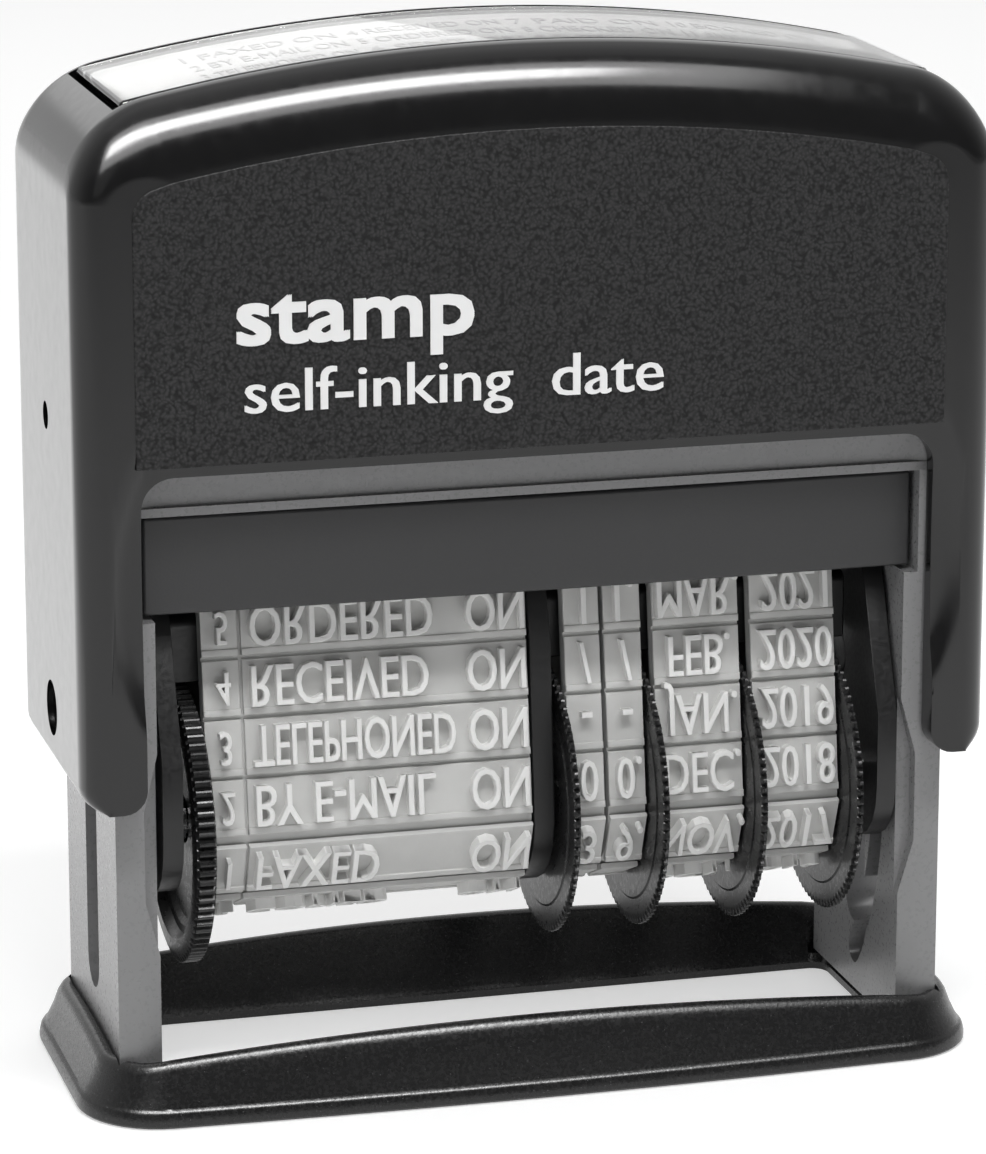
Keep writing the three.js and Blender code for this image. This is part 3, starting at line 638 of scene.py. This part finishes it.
class STAMP_OT_housing(bpy.types.Operator):
    """Glossy housing: crowned cap with a rolled shoulder, two skirts with finger hollows"""
    bl_idname = "stamp.housing"
    bl_label = "Housing"

    def execute(self, context):
        s = context.scene.stamp_housing
        outline, depth = housing_outline(s), CAP_HIGH[1]
        steps = 14
        half = [depth - s.roll_depth * (1 - math.sin(PI / 2 * k / steps)) for k in range(steps + 1)]
        layers = [-y for y in reversed(half)] + [-depth / 3, depth / 3] + half
        loops = [[(x - nx * housing_inset(s, y, nz), y, z - nz * housing_inset(s, y, nz)) for x, z, nx, nz in outline]
                 for y in layers]
        bm = bmesh.new()
        skin(bm, loops)
        # Fine grid on the flat faces, and the finger hollows pressed into it beside the window.
        grip_x, grip_z, grip_r, fade = 10.2, 36.6, 19.7, 1.5
        flats = [f for f in bm.faces if abs(abs(f.calc_center_median().y) - depth) < 1e-4]
        for axis, low, high, step in ((0, 26.6, 31.0, 0.35), (0, -31.0, -26.6, 0.35), (2, 24.0, 58.0, 0.5)):
            for k in range(int((high - low) / step) + 1):
                at, normal = Vector((0, 0, 0)), Vector((0, 0, 0))
                at[axis], normal[axis] = low + k * step, 1.0
                geom = [f for f in bm.faces if abs(abs(f.calc_center_median().y) - depth) < 1e-4]
                geom += list({e for f in geom for e in f.edges}) + list({v for f in geom for v in f.verts})
                bmesh.ops.bisect_plane(bm, geom=geom, plane_co=at, plane_no=normal, dist=1e-5)
        for v in bm.verts:
            x, y, z = v.co
            if abs(abs(y) - depth) < 1e-4 and abs(x) > 26.5:
                inside = grip_r - math.hypot(abs(x) - grip_x, z - grip_z)
                if inside > 0:
                    f = min(1.0, inside / fade)
                    f = f * f * (3 - 2 * f)
                    v.co.y = y - math.copysign(s.grip_depth * f * (0.55 + 0.45 * min(1.0, inside / 2.6)), y)
        require(len(flats) > 1, "the housing has no flat faces")
        cap = to_object(bm, "housing_moulding")
        # Hollow, working window, index pocket and the holes in the sides.
        cavity_x, cavity_y, roof = CAP_HIGH[0] - 2.1, depth - s.wall, 3.7
        bottom, window_x, window_top, window_r, lip = CAP_LOW[2], 27.2, 44.2, 2.2, 1.6
        tool = bmesh.new()
        ceiling = [(x, min(crown_z(x, s.crown_radius) - roof, crown_z(27, s.crown_radius) - roof + (cavity_x - abs(x))))
                   for x in [cavity_x - 2 * cavity_x * k / 24 for k in range(25)]]
        prism(tool, [(-cavity_x, bottom - 1), (cavity_x, bottom - 1)] + ceiling, -cavity_y, cavity_y, "y")
        cut(cap, tool)
        tool = bmesh.new()
        window = [(window_x + lip, bottom - 1), (window_x + lip, bottom)]
        window += arc(window_x + lip, bottom + lip, lip, -PI / 2, -PI, 6)[1:]
        window += arc(window_x - window_r, window_top - window_r, window_r, 0, PI / 2, 8)
        window += arc(-window_x + window_r, window_top - window_r, window_r, PI / 2, PI, 8)
        window += arc(-window_x - lip, bottom + lip, lip, 0, -PI / 2, 6)[:-1]
        window += [(-window_x - lip, bottom), (-window_x - lip, bottom - 1)]
        prism(tool, window, -depth - 1, depth + 1, "y")
        cut(cap, tool)
        tool = bmesh.new()
        pocket_x, pocket_y = span("index_window")[1][0] + 0.5, 7.9
        across = [pocket_x - 2 * pocket_x * k / 40 for k in range(41)]
        floor = [(x, crown_z(x, s.crown_radius) - 2.2) for x in across]
        sky = [(x, crown_z(x, s.crown_radius) + 2.0) for x in reversed(across)]
        prism(tool, floor + sky, -pocket_y, pocket_y, "y")
        cut(cap, tool)
        for z, r in ((PIVOT_Z, 1.9), (46.4, 0.95)):
            tool = bmesh.new()
            low, high = (-CAP_HIGH[0] - 1, CAP_HIGH[0] + 1) if r > 1 else (-CAP_HIGH[0] - 1, -cavity_x + 1)
            prism(tool, arc(0, z, r, 0, 2 * PI, 36)[:-1], low, high, "x")
            cut(cap, tool)
        shade(cap, 34)
        finish(cap, "housing", "housing_black", replaces=["housing_cap"])
        self.panels(context, s, depth)
        return {"FINISHED"}

    def panels(self, context, s, depth):
        """Grained panels on the front and back, with rounded edges."""
        half_x, low, r = 27.6, 45.0, 2.0

        def outline(inset):
            top = [(x, crown_z(x, s.crown_radius) - 5.2 - inset) for x in
                   [(half_x - r - 0.6) * (1 - 2 * k / 40) for k in range(41)]]
            shoulder = top[0]
            corner = arc(half_x - inset - r, shoulder[1] - r - 0.3, r, 0, PI / 2 - 0.25, 6)
            left = [(-x, z) for x, z in reversed(corner)]
            return [(half_x - inset, low + inset)] + corner + top + left + [(-half_x + inset, low + inset)]
        for side, label in ((-1, "front"), (1, "rear")):
            bm = bmesh.new()
            prism(bm, outline(0.0), side * (depth - 0.3), side * (depth + s.panel_rise), "y")
            face = max(bm.faces, key=lambda f: side * f.calc_center_median().y)
            bmesh.ops.bevel(bm, geom=list(face.edges), offset=0.09, segments=3, profile=0.5, affect="EDGES", material=-1)
            piece = to_object(bm, f"{label}_panel")
            shade(piece, 40)
            finish(piece, "housing", "housing_black", ["panel_grain"])
        bm = bmesh.new()
        across = Matrix(((1, 0, 0, 0), (0, 0, -1, 0), (0, 1, 0, 0), (0, 0, 0, 1)))
        face = -depth - s.panel_rise - 0.02
        lettering(bm, "stamp", 4.0, 15.6, 0.10, Matrix.Translation((-20.8, face, 55.0)) @ across, "LEFT", 1.3,
                  heavy=0.13)
        lettering(bm, "self-inking  date", 3.0, 29.5, 0.10, Matrix.Translation((-20.4, face, 49.9)) @ across, "LEFT",
                  1.1, bold=0.05)
        finish(to_object(bm, "front_lettering"), "housing", "housing_black", ["print_white"])


# ---- index window and card ---------------------------------------------------------------

class STAMP_OT_index(bpy.types.Operator):
    """Clear index window with the phrase card under it"""
    bl_idname = "stamp.index"
    bl_label = "Index window and card"

    def execute(self, context):
        radius = context.scene.stamp_housing.crown_radius

        def strip(name, half_x, half_y, upper, lower, width, segments):
            across = [half_x - 2 * half_x * k / 48 for k in range(49)]
            bm = bmesh.new()
            low = [(x, crown_z(x, radius) - lower) for x in across]
            high = [(x, crown_z(x, radius) - upper) for x in reversed(across)]
            prism(bm, low + high, -half_y, half_y, "y")
            piece = to_object(bm, name)
            mod = piece.modifiers.new("rounding", "BEVEL")
            mod.width, mod.segments, mod.limit_method, mod.angle_limit = width * MM, segments, "ANGLE", math.radians(50)
            settle(piece)
            shade(piece, 40)
            return piece
        window, card = span("index_window"), span("index_card")
        finish(strip("index_window_clear", window[1][0], window[1][1], 0.0, 1.2, 0.3, 3),
               "index_window", "window_clear", replaces=["index_window"])
        finish(strip("index_card_sheet", card[1][0], card[1][1], 1.5, 1.85, 0.04, 1),
               "housing", "card_white", replaces=["index_card"])
        bm = bmesh.new()
        order = [number for number in range(1, 13)]
        words = {int(n): w for n, w in zip(PHRASE_NUMBERS, PHRASES) if n}
        for k, number in enumerate(order):
            column, row = divmod(k, 3)
            x, y = -21.0 + column * 11.2, 3.4 - row * 3.5
            flat = Matrix.Translation((x, y, 0))
            lettering(bm, f"{number} {words[number]} ON", 2.1, 10.4, 0.04, flat, "LEFT", 0.75)
        for v in bm.verts:
            v.co.z += crown_z(v.co.x, radius) - 1.5
        finish(to_object(bm, "index_card_print"), "housing", "card_white", ["print_grey"])
        return {"FINISHED"}


# ---- type bands -----------------------------------------------------------------------------

class Loop:
    """Path of a band drawn tight round its drum and the narrower bar, measured along its neutral line."""

    def __init__(self):
        self.r, self.low_z = BAND_HIGH[1], AXLE_Z
        self.top_r, self.top_y, self.neutral = 2.7, 2.0, 1.6
        self.top_z = BAND_HIGH[2] - self.top_r
        span_out = math.hypot(self.top_y, self.top_z - self.low_z)
        self.lean = math.asin((self.r - self.top_r) / span_out) - math.atan2(self.top_y, self.top_z - self.low_z)
        straight = math.sqrt(span_out ** 2 - (self.r - self.top_r) ** 2)
        self.parts = [self.top_y, (self.top_r - self.neutral) * (PI / 2 - self.lean), straight,
                      (self.r - self.neutral) * (PI / 2 + self.lean)]
        self.half = sum(self.parts)

    def at(self, s):
        """Point on the outer line, the outward angle there and the side, for a distance s down the front."""
        s = s % (2 * self.half)
        side, s = (1, s) if s <= self.half else (-1, 2 * self.half - s)
        flat, corner, straight, drum = self.parts
        if s < flat:
            return -side * s, self.top_z + self.top_r, PI / 2, side
        if s < flat + corner:
            a = PI / 2 - (s - flat) / (self.top_r - self.neutral)
            return -side * (self.top_y + self.top_r * math.cos(a)), self.top_z + self.top_r * math.sin(a), a, side
        if s < flat + corner + straight:
            a, run = self.lean, s - flat - corner
            y = self.top_y + self.top_r * math.cos(a) + run * math.sin(a)
            return -side * y, self.top_z + self.top_r * math.sin(a) - run * math.cos(a), a, side
        a = self.lean - (s - flat - corner - straight) / (self.r - self.neutral)
        return -side * self.r * math.cos(a), self.low_z + self.r * math.sin(a), a, side

    def outline(self, inset, steps=12):
        r, t, lean = self.r - inset, self.top_r - inset, self.lean
        return (arc(0, self.low_z, r, PI - lean, 2 * PI + lean, 2 * steps)
                + arc(self.top_y, self.top_z, t, lean, PI / 2, steps)
                + arc(-self.top_y, self.top_z, t, PI / 2, PI - lean, steps))

    def place(self, s, x, lift):
        """Matrix that lays x, down-the-band, outward axes on the band at s; lift is from the outer line."""
        y, z, a, side = self.at(s)
        out = Vector((0, -side * math.cos(a), math.sin(a)))
        down = Vector((0, -math.sin(a), -side * math.cos(a)))
        point = Vector((x, y, z)) + out * lift
        m = Matrix.Identity(4)
        m.col[0] = (1, 0, 0, 0)
        m.col[1] = (*down, 0)
        m.col[2] = (*out, 0)
        m.col[3] = (*point, 1)
        return m


class STAMP_OT_type_bands(bpy.types.Operator):
    """Moulded rubber bands with raised type tiles in mirror writing"""
    bl_idname = "stamp.type_bands"
    bl_label = "Type bands"

    def execute(self, context):
        s = context.scene.stamp_bands
        path = Loop()
        pitch = 2 * path.half / s.pitch_count
        base, tile = s.relief + 0.30, s.relief
        for name in BAND_NAMES:
            low, high = span(name + "_band")
            left, right = OVERHANG.get(name, (0.18, 0.18))
            x0, x1 = low[0] - left, high[0] + right
            bm = bmesh.new()
            self.belt(bm, path, x0, x1, base)
            edges = [x0, x0 + 2.55, x0 + 2.75, x1] if name == "phrase" else [x0, x1]
            for row in range(s.pitch_count):
                for a, b in zip(edges[::2], edges[1::2]):
                    self.tile(bm, path.place(row * pitch, 0, -base - 0.1), a, b, pitch - s.groove, base - tile + 0.1)
            belt = to_object(bm, name + "_band_rubber")
            shade(belt, 35)
            # Belt and tiles take the darker rubber, painted shade between the letters.
            finish(belt, "type_unit", "band_white", replaces=[name + "_band"])
            bm = bmesh.new()
            for row in range(s.pitch_count):
                self.type_row(bm, name, row, path.place(row * pitch, 0, -tile - 0.03), x0, x1, s, tile)
            letters = to_object(bm, name + "_band_type")
            shade(letters, 35)
            finish(letters, "type_unit", "band_white", ["type_white"])
        return {"FINISHED"}

    def belt(self, bm, path, x0, x1, base):
        """The closed loop that carries the tiles."""
        outer, inner = path.outline(base), path.outline(1.95)
        ring = [[(x, *p) for p in line] for line, x in
                ((outer, x0), (outer, x1), (inner, x1), (inner, x0))]
        skin(bm, ring, around=True)

    def tile(self, bm, place, x0, x1, length, rise):
        """One raised tile with bevelled edges."""
        made = bmesh.new()
        box(made, (x0, -length / 2, 0), (x1, length / 2, rise))
        top = [e for e in made.edges if all(v.co.z > rise / 2 for v in e.verts)]
        bmesh.ops.bevel(made, geom=top, offset=0.12, segments=2, profile=0.5, affect="EDGES", material=-1)
        bead = box(made, (x0, length / 2 - 0.50, rise / 2), (x1, length / 2 - 0.02, rise + 0.13))
        high = max(v.co.z for v in bead)
        rim = [e for e in {e for v in bead for e in v.link_edges} if all(v.co.z > high - 0.01 for v in e.verts)]
        bmesh.ops.bevel(made, geom=rim, offset=0.12, segments=2, profile=0.5, affect="EDGES", material=-1)
        bmesh.ops.transform(made, matrix=place, verts=made.verts)
        mesh = bpy.data.meshes.new("tile")
        made.to_mesh(mesh)
        made.free()
        bm.from_mesh(mesh)
        bpy.data.meshes.remove(mesh)

    def type_row(self, bm, name, row, place, x0, x1, s, relief):
        """The letters of one row."""
        def word(text, x, width, align, squeeze=0.72, height=s.letter):
            lettering(bm, text, height, width, relief + 0.03, place @ Matrix.Translation((x, 0, 0)), align, squeeze,
                      draft=0.05, bold=0.045)
        if name == "phrase":
            if PHRASES[row]:
                word(PHRASE_NUMBERS[row], x0 + 1.3, 1.6, "CENTER", 0.62, s.letter * 0.8)
                word(PHRASES[row], x0 + 3.25, 13.9, "LEFT", 0.70)
                word("ON", x1 - 0.35, 4.0, "RIGHT", 0.68)
            return
        text = ROWS[name][row]
        if text.strip():
            word(text, (x0 + x1) / 2, x1 - x0 - 0.35, "CENTER", 0.66)


# ---- thumbwheels -------------------------------------------------------------------------------

class STAMP_OT_thumbwheels(bpy.types.Operator):
    """Knurled thumbwheels, each with the drum that drives its band"""
    bl_idname = "stamp.thumbwheels"
    bl_label = "Thumbwheels"

    def execute(self, context):
        s = context.scene.stamp_wheels
        for name in BAND_NAMES:
            low, high = span(name + "_wheel")
            band_low, band_high = span(name + "_band")
            left = band_low[0] > low[0] + 0.05
            x0, x1 = (low[0], band_low[0] - 0.3) if left else (band_high[0] + 0.3, high[0])
            bm = bmesh.new()
            self.disc(bm, s, x0, x1, recess=name == "phrase")
            drum = (x1 - 0.1, band_high[0]) if left else (band_low[0], x0 + 0.1)
            hub, bore = 4.0, 1.7
            ring = [[(x, r * math.cos(t), AXLE_Z + r * math.sin(t)) for t in [2 * PI * k / 48 for k in range(48)]]
                    for x, r in ((drum[0], hub), (drum[1], hub), (drum[1], bore), (drum[0], bore))]
            skin(bm, ring, around=True)
            piece = to_object(bm, name + "_wheel_knurled")
            shade(piece, 28)
            finish(piece, name + "_wheel", "wheel_black", replaces=[name + "_wheel"])
        return {"FINISHED"}

    def disc(self, bm, s, x0, x1, recess):
        """A disc with rounded teeth that run out at both faces."""
        per = 6
        count = s.teeth * per
        profile = (0.0, 0.35, 0.92, 1.0, 0.92, 0.35)

        def circle(x, r, bite=0.0):
            pts = []
            for k in range(count):
                t = 2 * PI * k / count
                rr = r - bite * (1 - profile[k % per])
                pts.append((x, rr * math.cos(t), AXLE_Z + rr * math.sin(t)))
            return pts
        r, d, c = WHEEL_R, s.tooth_depth, min(0.22, (x1 - x0) * 0.3)
        bore = 1.7
        rings = [circle(x0, bore)]
        if recess:
            rings += [circle(x0 + 1.1, bore), circle(x0 + 1.1, 7.0), circle(x0 + 0.75, 7.35), circle(x0 + 0.7, 7.9),
                      circle(x0 + 0.12, 8.15), circle(x0, 8.25)]
            rings = rings[1:]
        else:
            rings += [circle(x0, 7.9), circle(x0 + 0.08, 8.05)]
        rings += [circle(x0, r - d - 0.25) if recess else circle(x0 + 0.08, r - d - 0.25), circle(x0 + c * 0.4, r - d + 0.04, 0.0),
                  circle(x0 + c, r, d), circle(x1 - c, r, d), circle(x1 - c * 0.4, r - d + 0.04, 0.0),
                  circle(x1, r - d - 0.25), circle(x1, bore)]
        skin(bm, rings, around=True)


# ---- stage -----------------------------------------------------------------------------------------

class STAMP_OT_stage(bpy.types.Operator):
    """Pale floor, soft studio lights and the camera"""
    bl_idname = "stamp.stage"
    bl_label = "Stage"

    def execute(self, context):
        s, scene = context.scene.stamp_stage, context.scene
        bm = bmesh.new()
        bmesh.ops.create_grid(bm, x_segments=8, y_segments=8, size=4000.0)
        floor = to_object(bm, "floor")
        mat = surface_material("floor_pale", bpy.data.node_groups["moulded_surface"], s.floor_colour,
                               {"Grain scale": 300.0, "Grain depth": 0.2, "Drift scale": 2.0, "Drift": 0.02,
                                "Rough low": 0.8, "Rough high": 0.9}, bump=0.01)
        # The floor glows as painted light: it keeps the floor white, lifts the shadow under the stamp and lights the
        # stamp from below; the glow is dim towards the camera.
        glow = mat.node_tree.nodes["Principled BSDF"]
        tree = mat.node_tree
        place = node(tree, "ShaderNodeTexCoord")
        parts = node(tree, "ShaderNodeSeparateXYZ", [("Vector", place.outputs["Object"])])
        fade = node(tree, "ShaderNodeMapRange", [("Value", parts.outputs["Y"]), ("From Min", -0.34), ("From Max", -0.06),
                                                 ("To Min", 0.12), ("To Max", 1.0)], interpolation_type="SMOOTHSTEP")
        tree.links.new(fade.outputs[0], glow.inputs["Emission Color"])
        glow.inputs["Emission Strength"].default_value = 0.46
        floor.data.materials.append(mat)
        self.world(scene)
        # name, place, target, size, power, kinds of ray that see it
        lamps = [
            ("overhead", (-0.02, 0.10, 0.60), (0, 0, 0), (0.60, 0.40), 0.12, "both"),
            ("key", (0.0, -0.22, 0.42), (0.0, 0, 0.06), (0.40, 0.06), 1.30, "diffuse"),
            ("shoulder_core", (-0.05, -0.235, 0.42), (0.0, 0, 0.06), (0.40, 0.10), 3.0, "glossy"),
            ("shoulder_halo", (-0.04, -0.25, 0.43), (0.0, 0, 0.06), (0.54, 0.28), 2.3, "glossy"),
            ("fill_front_left", (-0.35, -0.55, 0.30), (0, 0, 0.03), (0.30, 0.30), 0.07, "both"),
            ("glow_left", (-0.090, 0.29, 0.001), (-0.090, 0.29, 0.5), (0.10, 0.55), 0.075, "both"),
            ("glow_back", (0.06, 0.50, 0.30), (0, 0, 0.03), (0.50, 0.30), 0.25, "both"),
        ]
        for name, at, target, size, power, kind in lamps:
            data = bpy.data.lights.new(name, "AREA")
            data.shape, data.size, data.size_y, data.energy = "RECTANGLE", size[0], size[1], power
            lamp = bpy.data.objects.new(name, data)
            lamp.location = at
            lamp.rotation_euler = (Vector(target) - Vector(at)).to_track_quat("-Z", "Y").to_euler()
            lamp.visible_camera, lamp.visible_diffuse, lamp.visible_glossy = False, kind != "glossy", kind != "diffuse"
            scene.collection.objects.link(lamp)
        data = bpy.data.cameras.new("camera")
        data.lens, data.sensor_width = s.lens, 36.0
        camera = bpy.data.objects.new("camera", data)
        az, el = s.azimuth, s.elevation
        ahead = Vector((-math.sin(az) * math.cos(el), math.cos(az) * math.cos(el), -math.sin(el)))
        camera.location = CAMERA_AT
        camera.rotation_euler = ahead.to_track_quat("-Z", "Y").to_euler()
        scene.collection.objects.link(camera)
        scene.camera = camera
        scene.view_settings.view_transform = "Standard"
        return {"FINISHED"}

    def world(self, scene):
        """White surround that darkens towards the front, as a studio with its light behind the table."""
        world = bpy.data.worlds.new("studio")
        world.use_nodes = True
        tree = world.node_tree
        back = tree.nodes["Background"]
        place = node(tree, "ShaderNodeTexCoord")
        parts = node(tree, "ShaderNodeSeparateXYZ", [("Vector", place.outputs["Generated"])])
        ramp = node(tree, "ShaderNodeMapRange", [("Value", parts.outputs["Y"]), ("From Min", -0.7), ("From Max", 0.5),
                                                 ("To Min", 0.15), ("To Max", 0.70)], interpolation_type="SMOOTHSTEP")
        tree.links.new(ramp.outputs[0], back.inputs["Strength"])
        back.inputs["Color"].default_value = (1, 1, 1, 1)
        scene.world = world


CAMERA_AT = Vector((-0.08900, -0.32890, 0.12067))


class STAMP_PT_panel(bpy.types.Panel):
    """Sizes, colours and the pieces of the stamp"""
    bl_idname = "STAMP_PT_panel"
    bl_label = "Date stamp"
    bl_space_type = "VIEW_3D"
    bl_region_type = "UI"
    bl_category = "Date stamp"

    def draw(self, context):
        for label, group in (("Housing", context.scene.stamp_housing), ("Frame", context.scene.stamp_frame),
                             ("Bands", context.scene.stamp_bands), ("Wheels", context.scene.stamp_wheels),
                             ("Stage", context.scene.stamp_stage)):
            column = self.layout.column(align=True)
            column.label(text=label)
            for key in group.__class__.__annotations__:
                column.prop(group, key)
        for operator in OPERATORS:
            self.layout.operator(operator.bl_idname)


GROUPS = {"stamp_housing": STAMP_PG_housing, "stamp_frame": STAMP_PG_frame, "stamp_bands": STAMP_PG_bands,
          "stamp_wheels": STAMP_PG_wheels, "stamp_stage": STAMP_PG_stage}
OPERATORS = (STAMP_OT_foot_ring, STAMP_OT_frame_pieces, STAMP_OT_housing, STAMP_OT_index,
             STAMP_OT_type_bands, STAMP_OT_thumbwheels, STAMP_OT_stage)


def register():
    for cls in (*GROUPS.values(), *OPERATORS, STAMP_PT_panel):
        bpy.utils.register_class(cls)
    for key, cls in GROUPS.items():
        setattr(bpy.types.Scene, key, bpy.props.PointerProperty(type=cls))


def unregister():
    for key in GROUPS:
        delattr(bpy.types.Scene, key)
    for cls in reversed((*GROUPS.values(), *OPERATORS, STAMP_PT_panel)):
        bpy.utils.unregister_class(cls)


def main():
    register()
    make_finishes(bpy.context.scene)
    bpy.ops.stamp.foot_ring()
    bpy.ops.stamp.frame_pieces()
    bpy.ops.stamp.housing()
    bpy.ops.stamp.index()
    bpy.ops.stamp.type_bands()
    bpy.ops.stamp.thumbwheels()
    bpy.ops.stamp.stage()


if __name__ == "__main__":
    main()
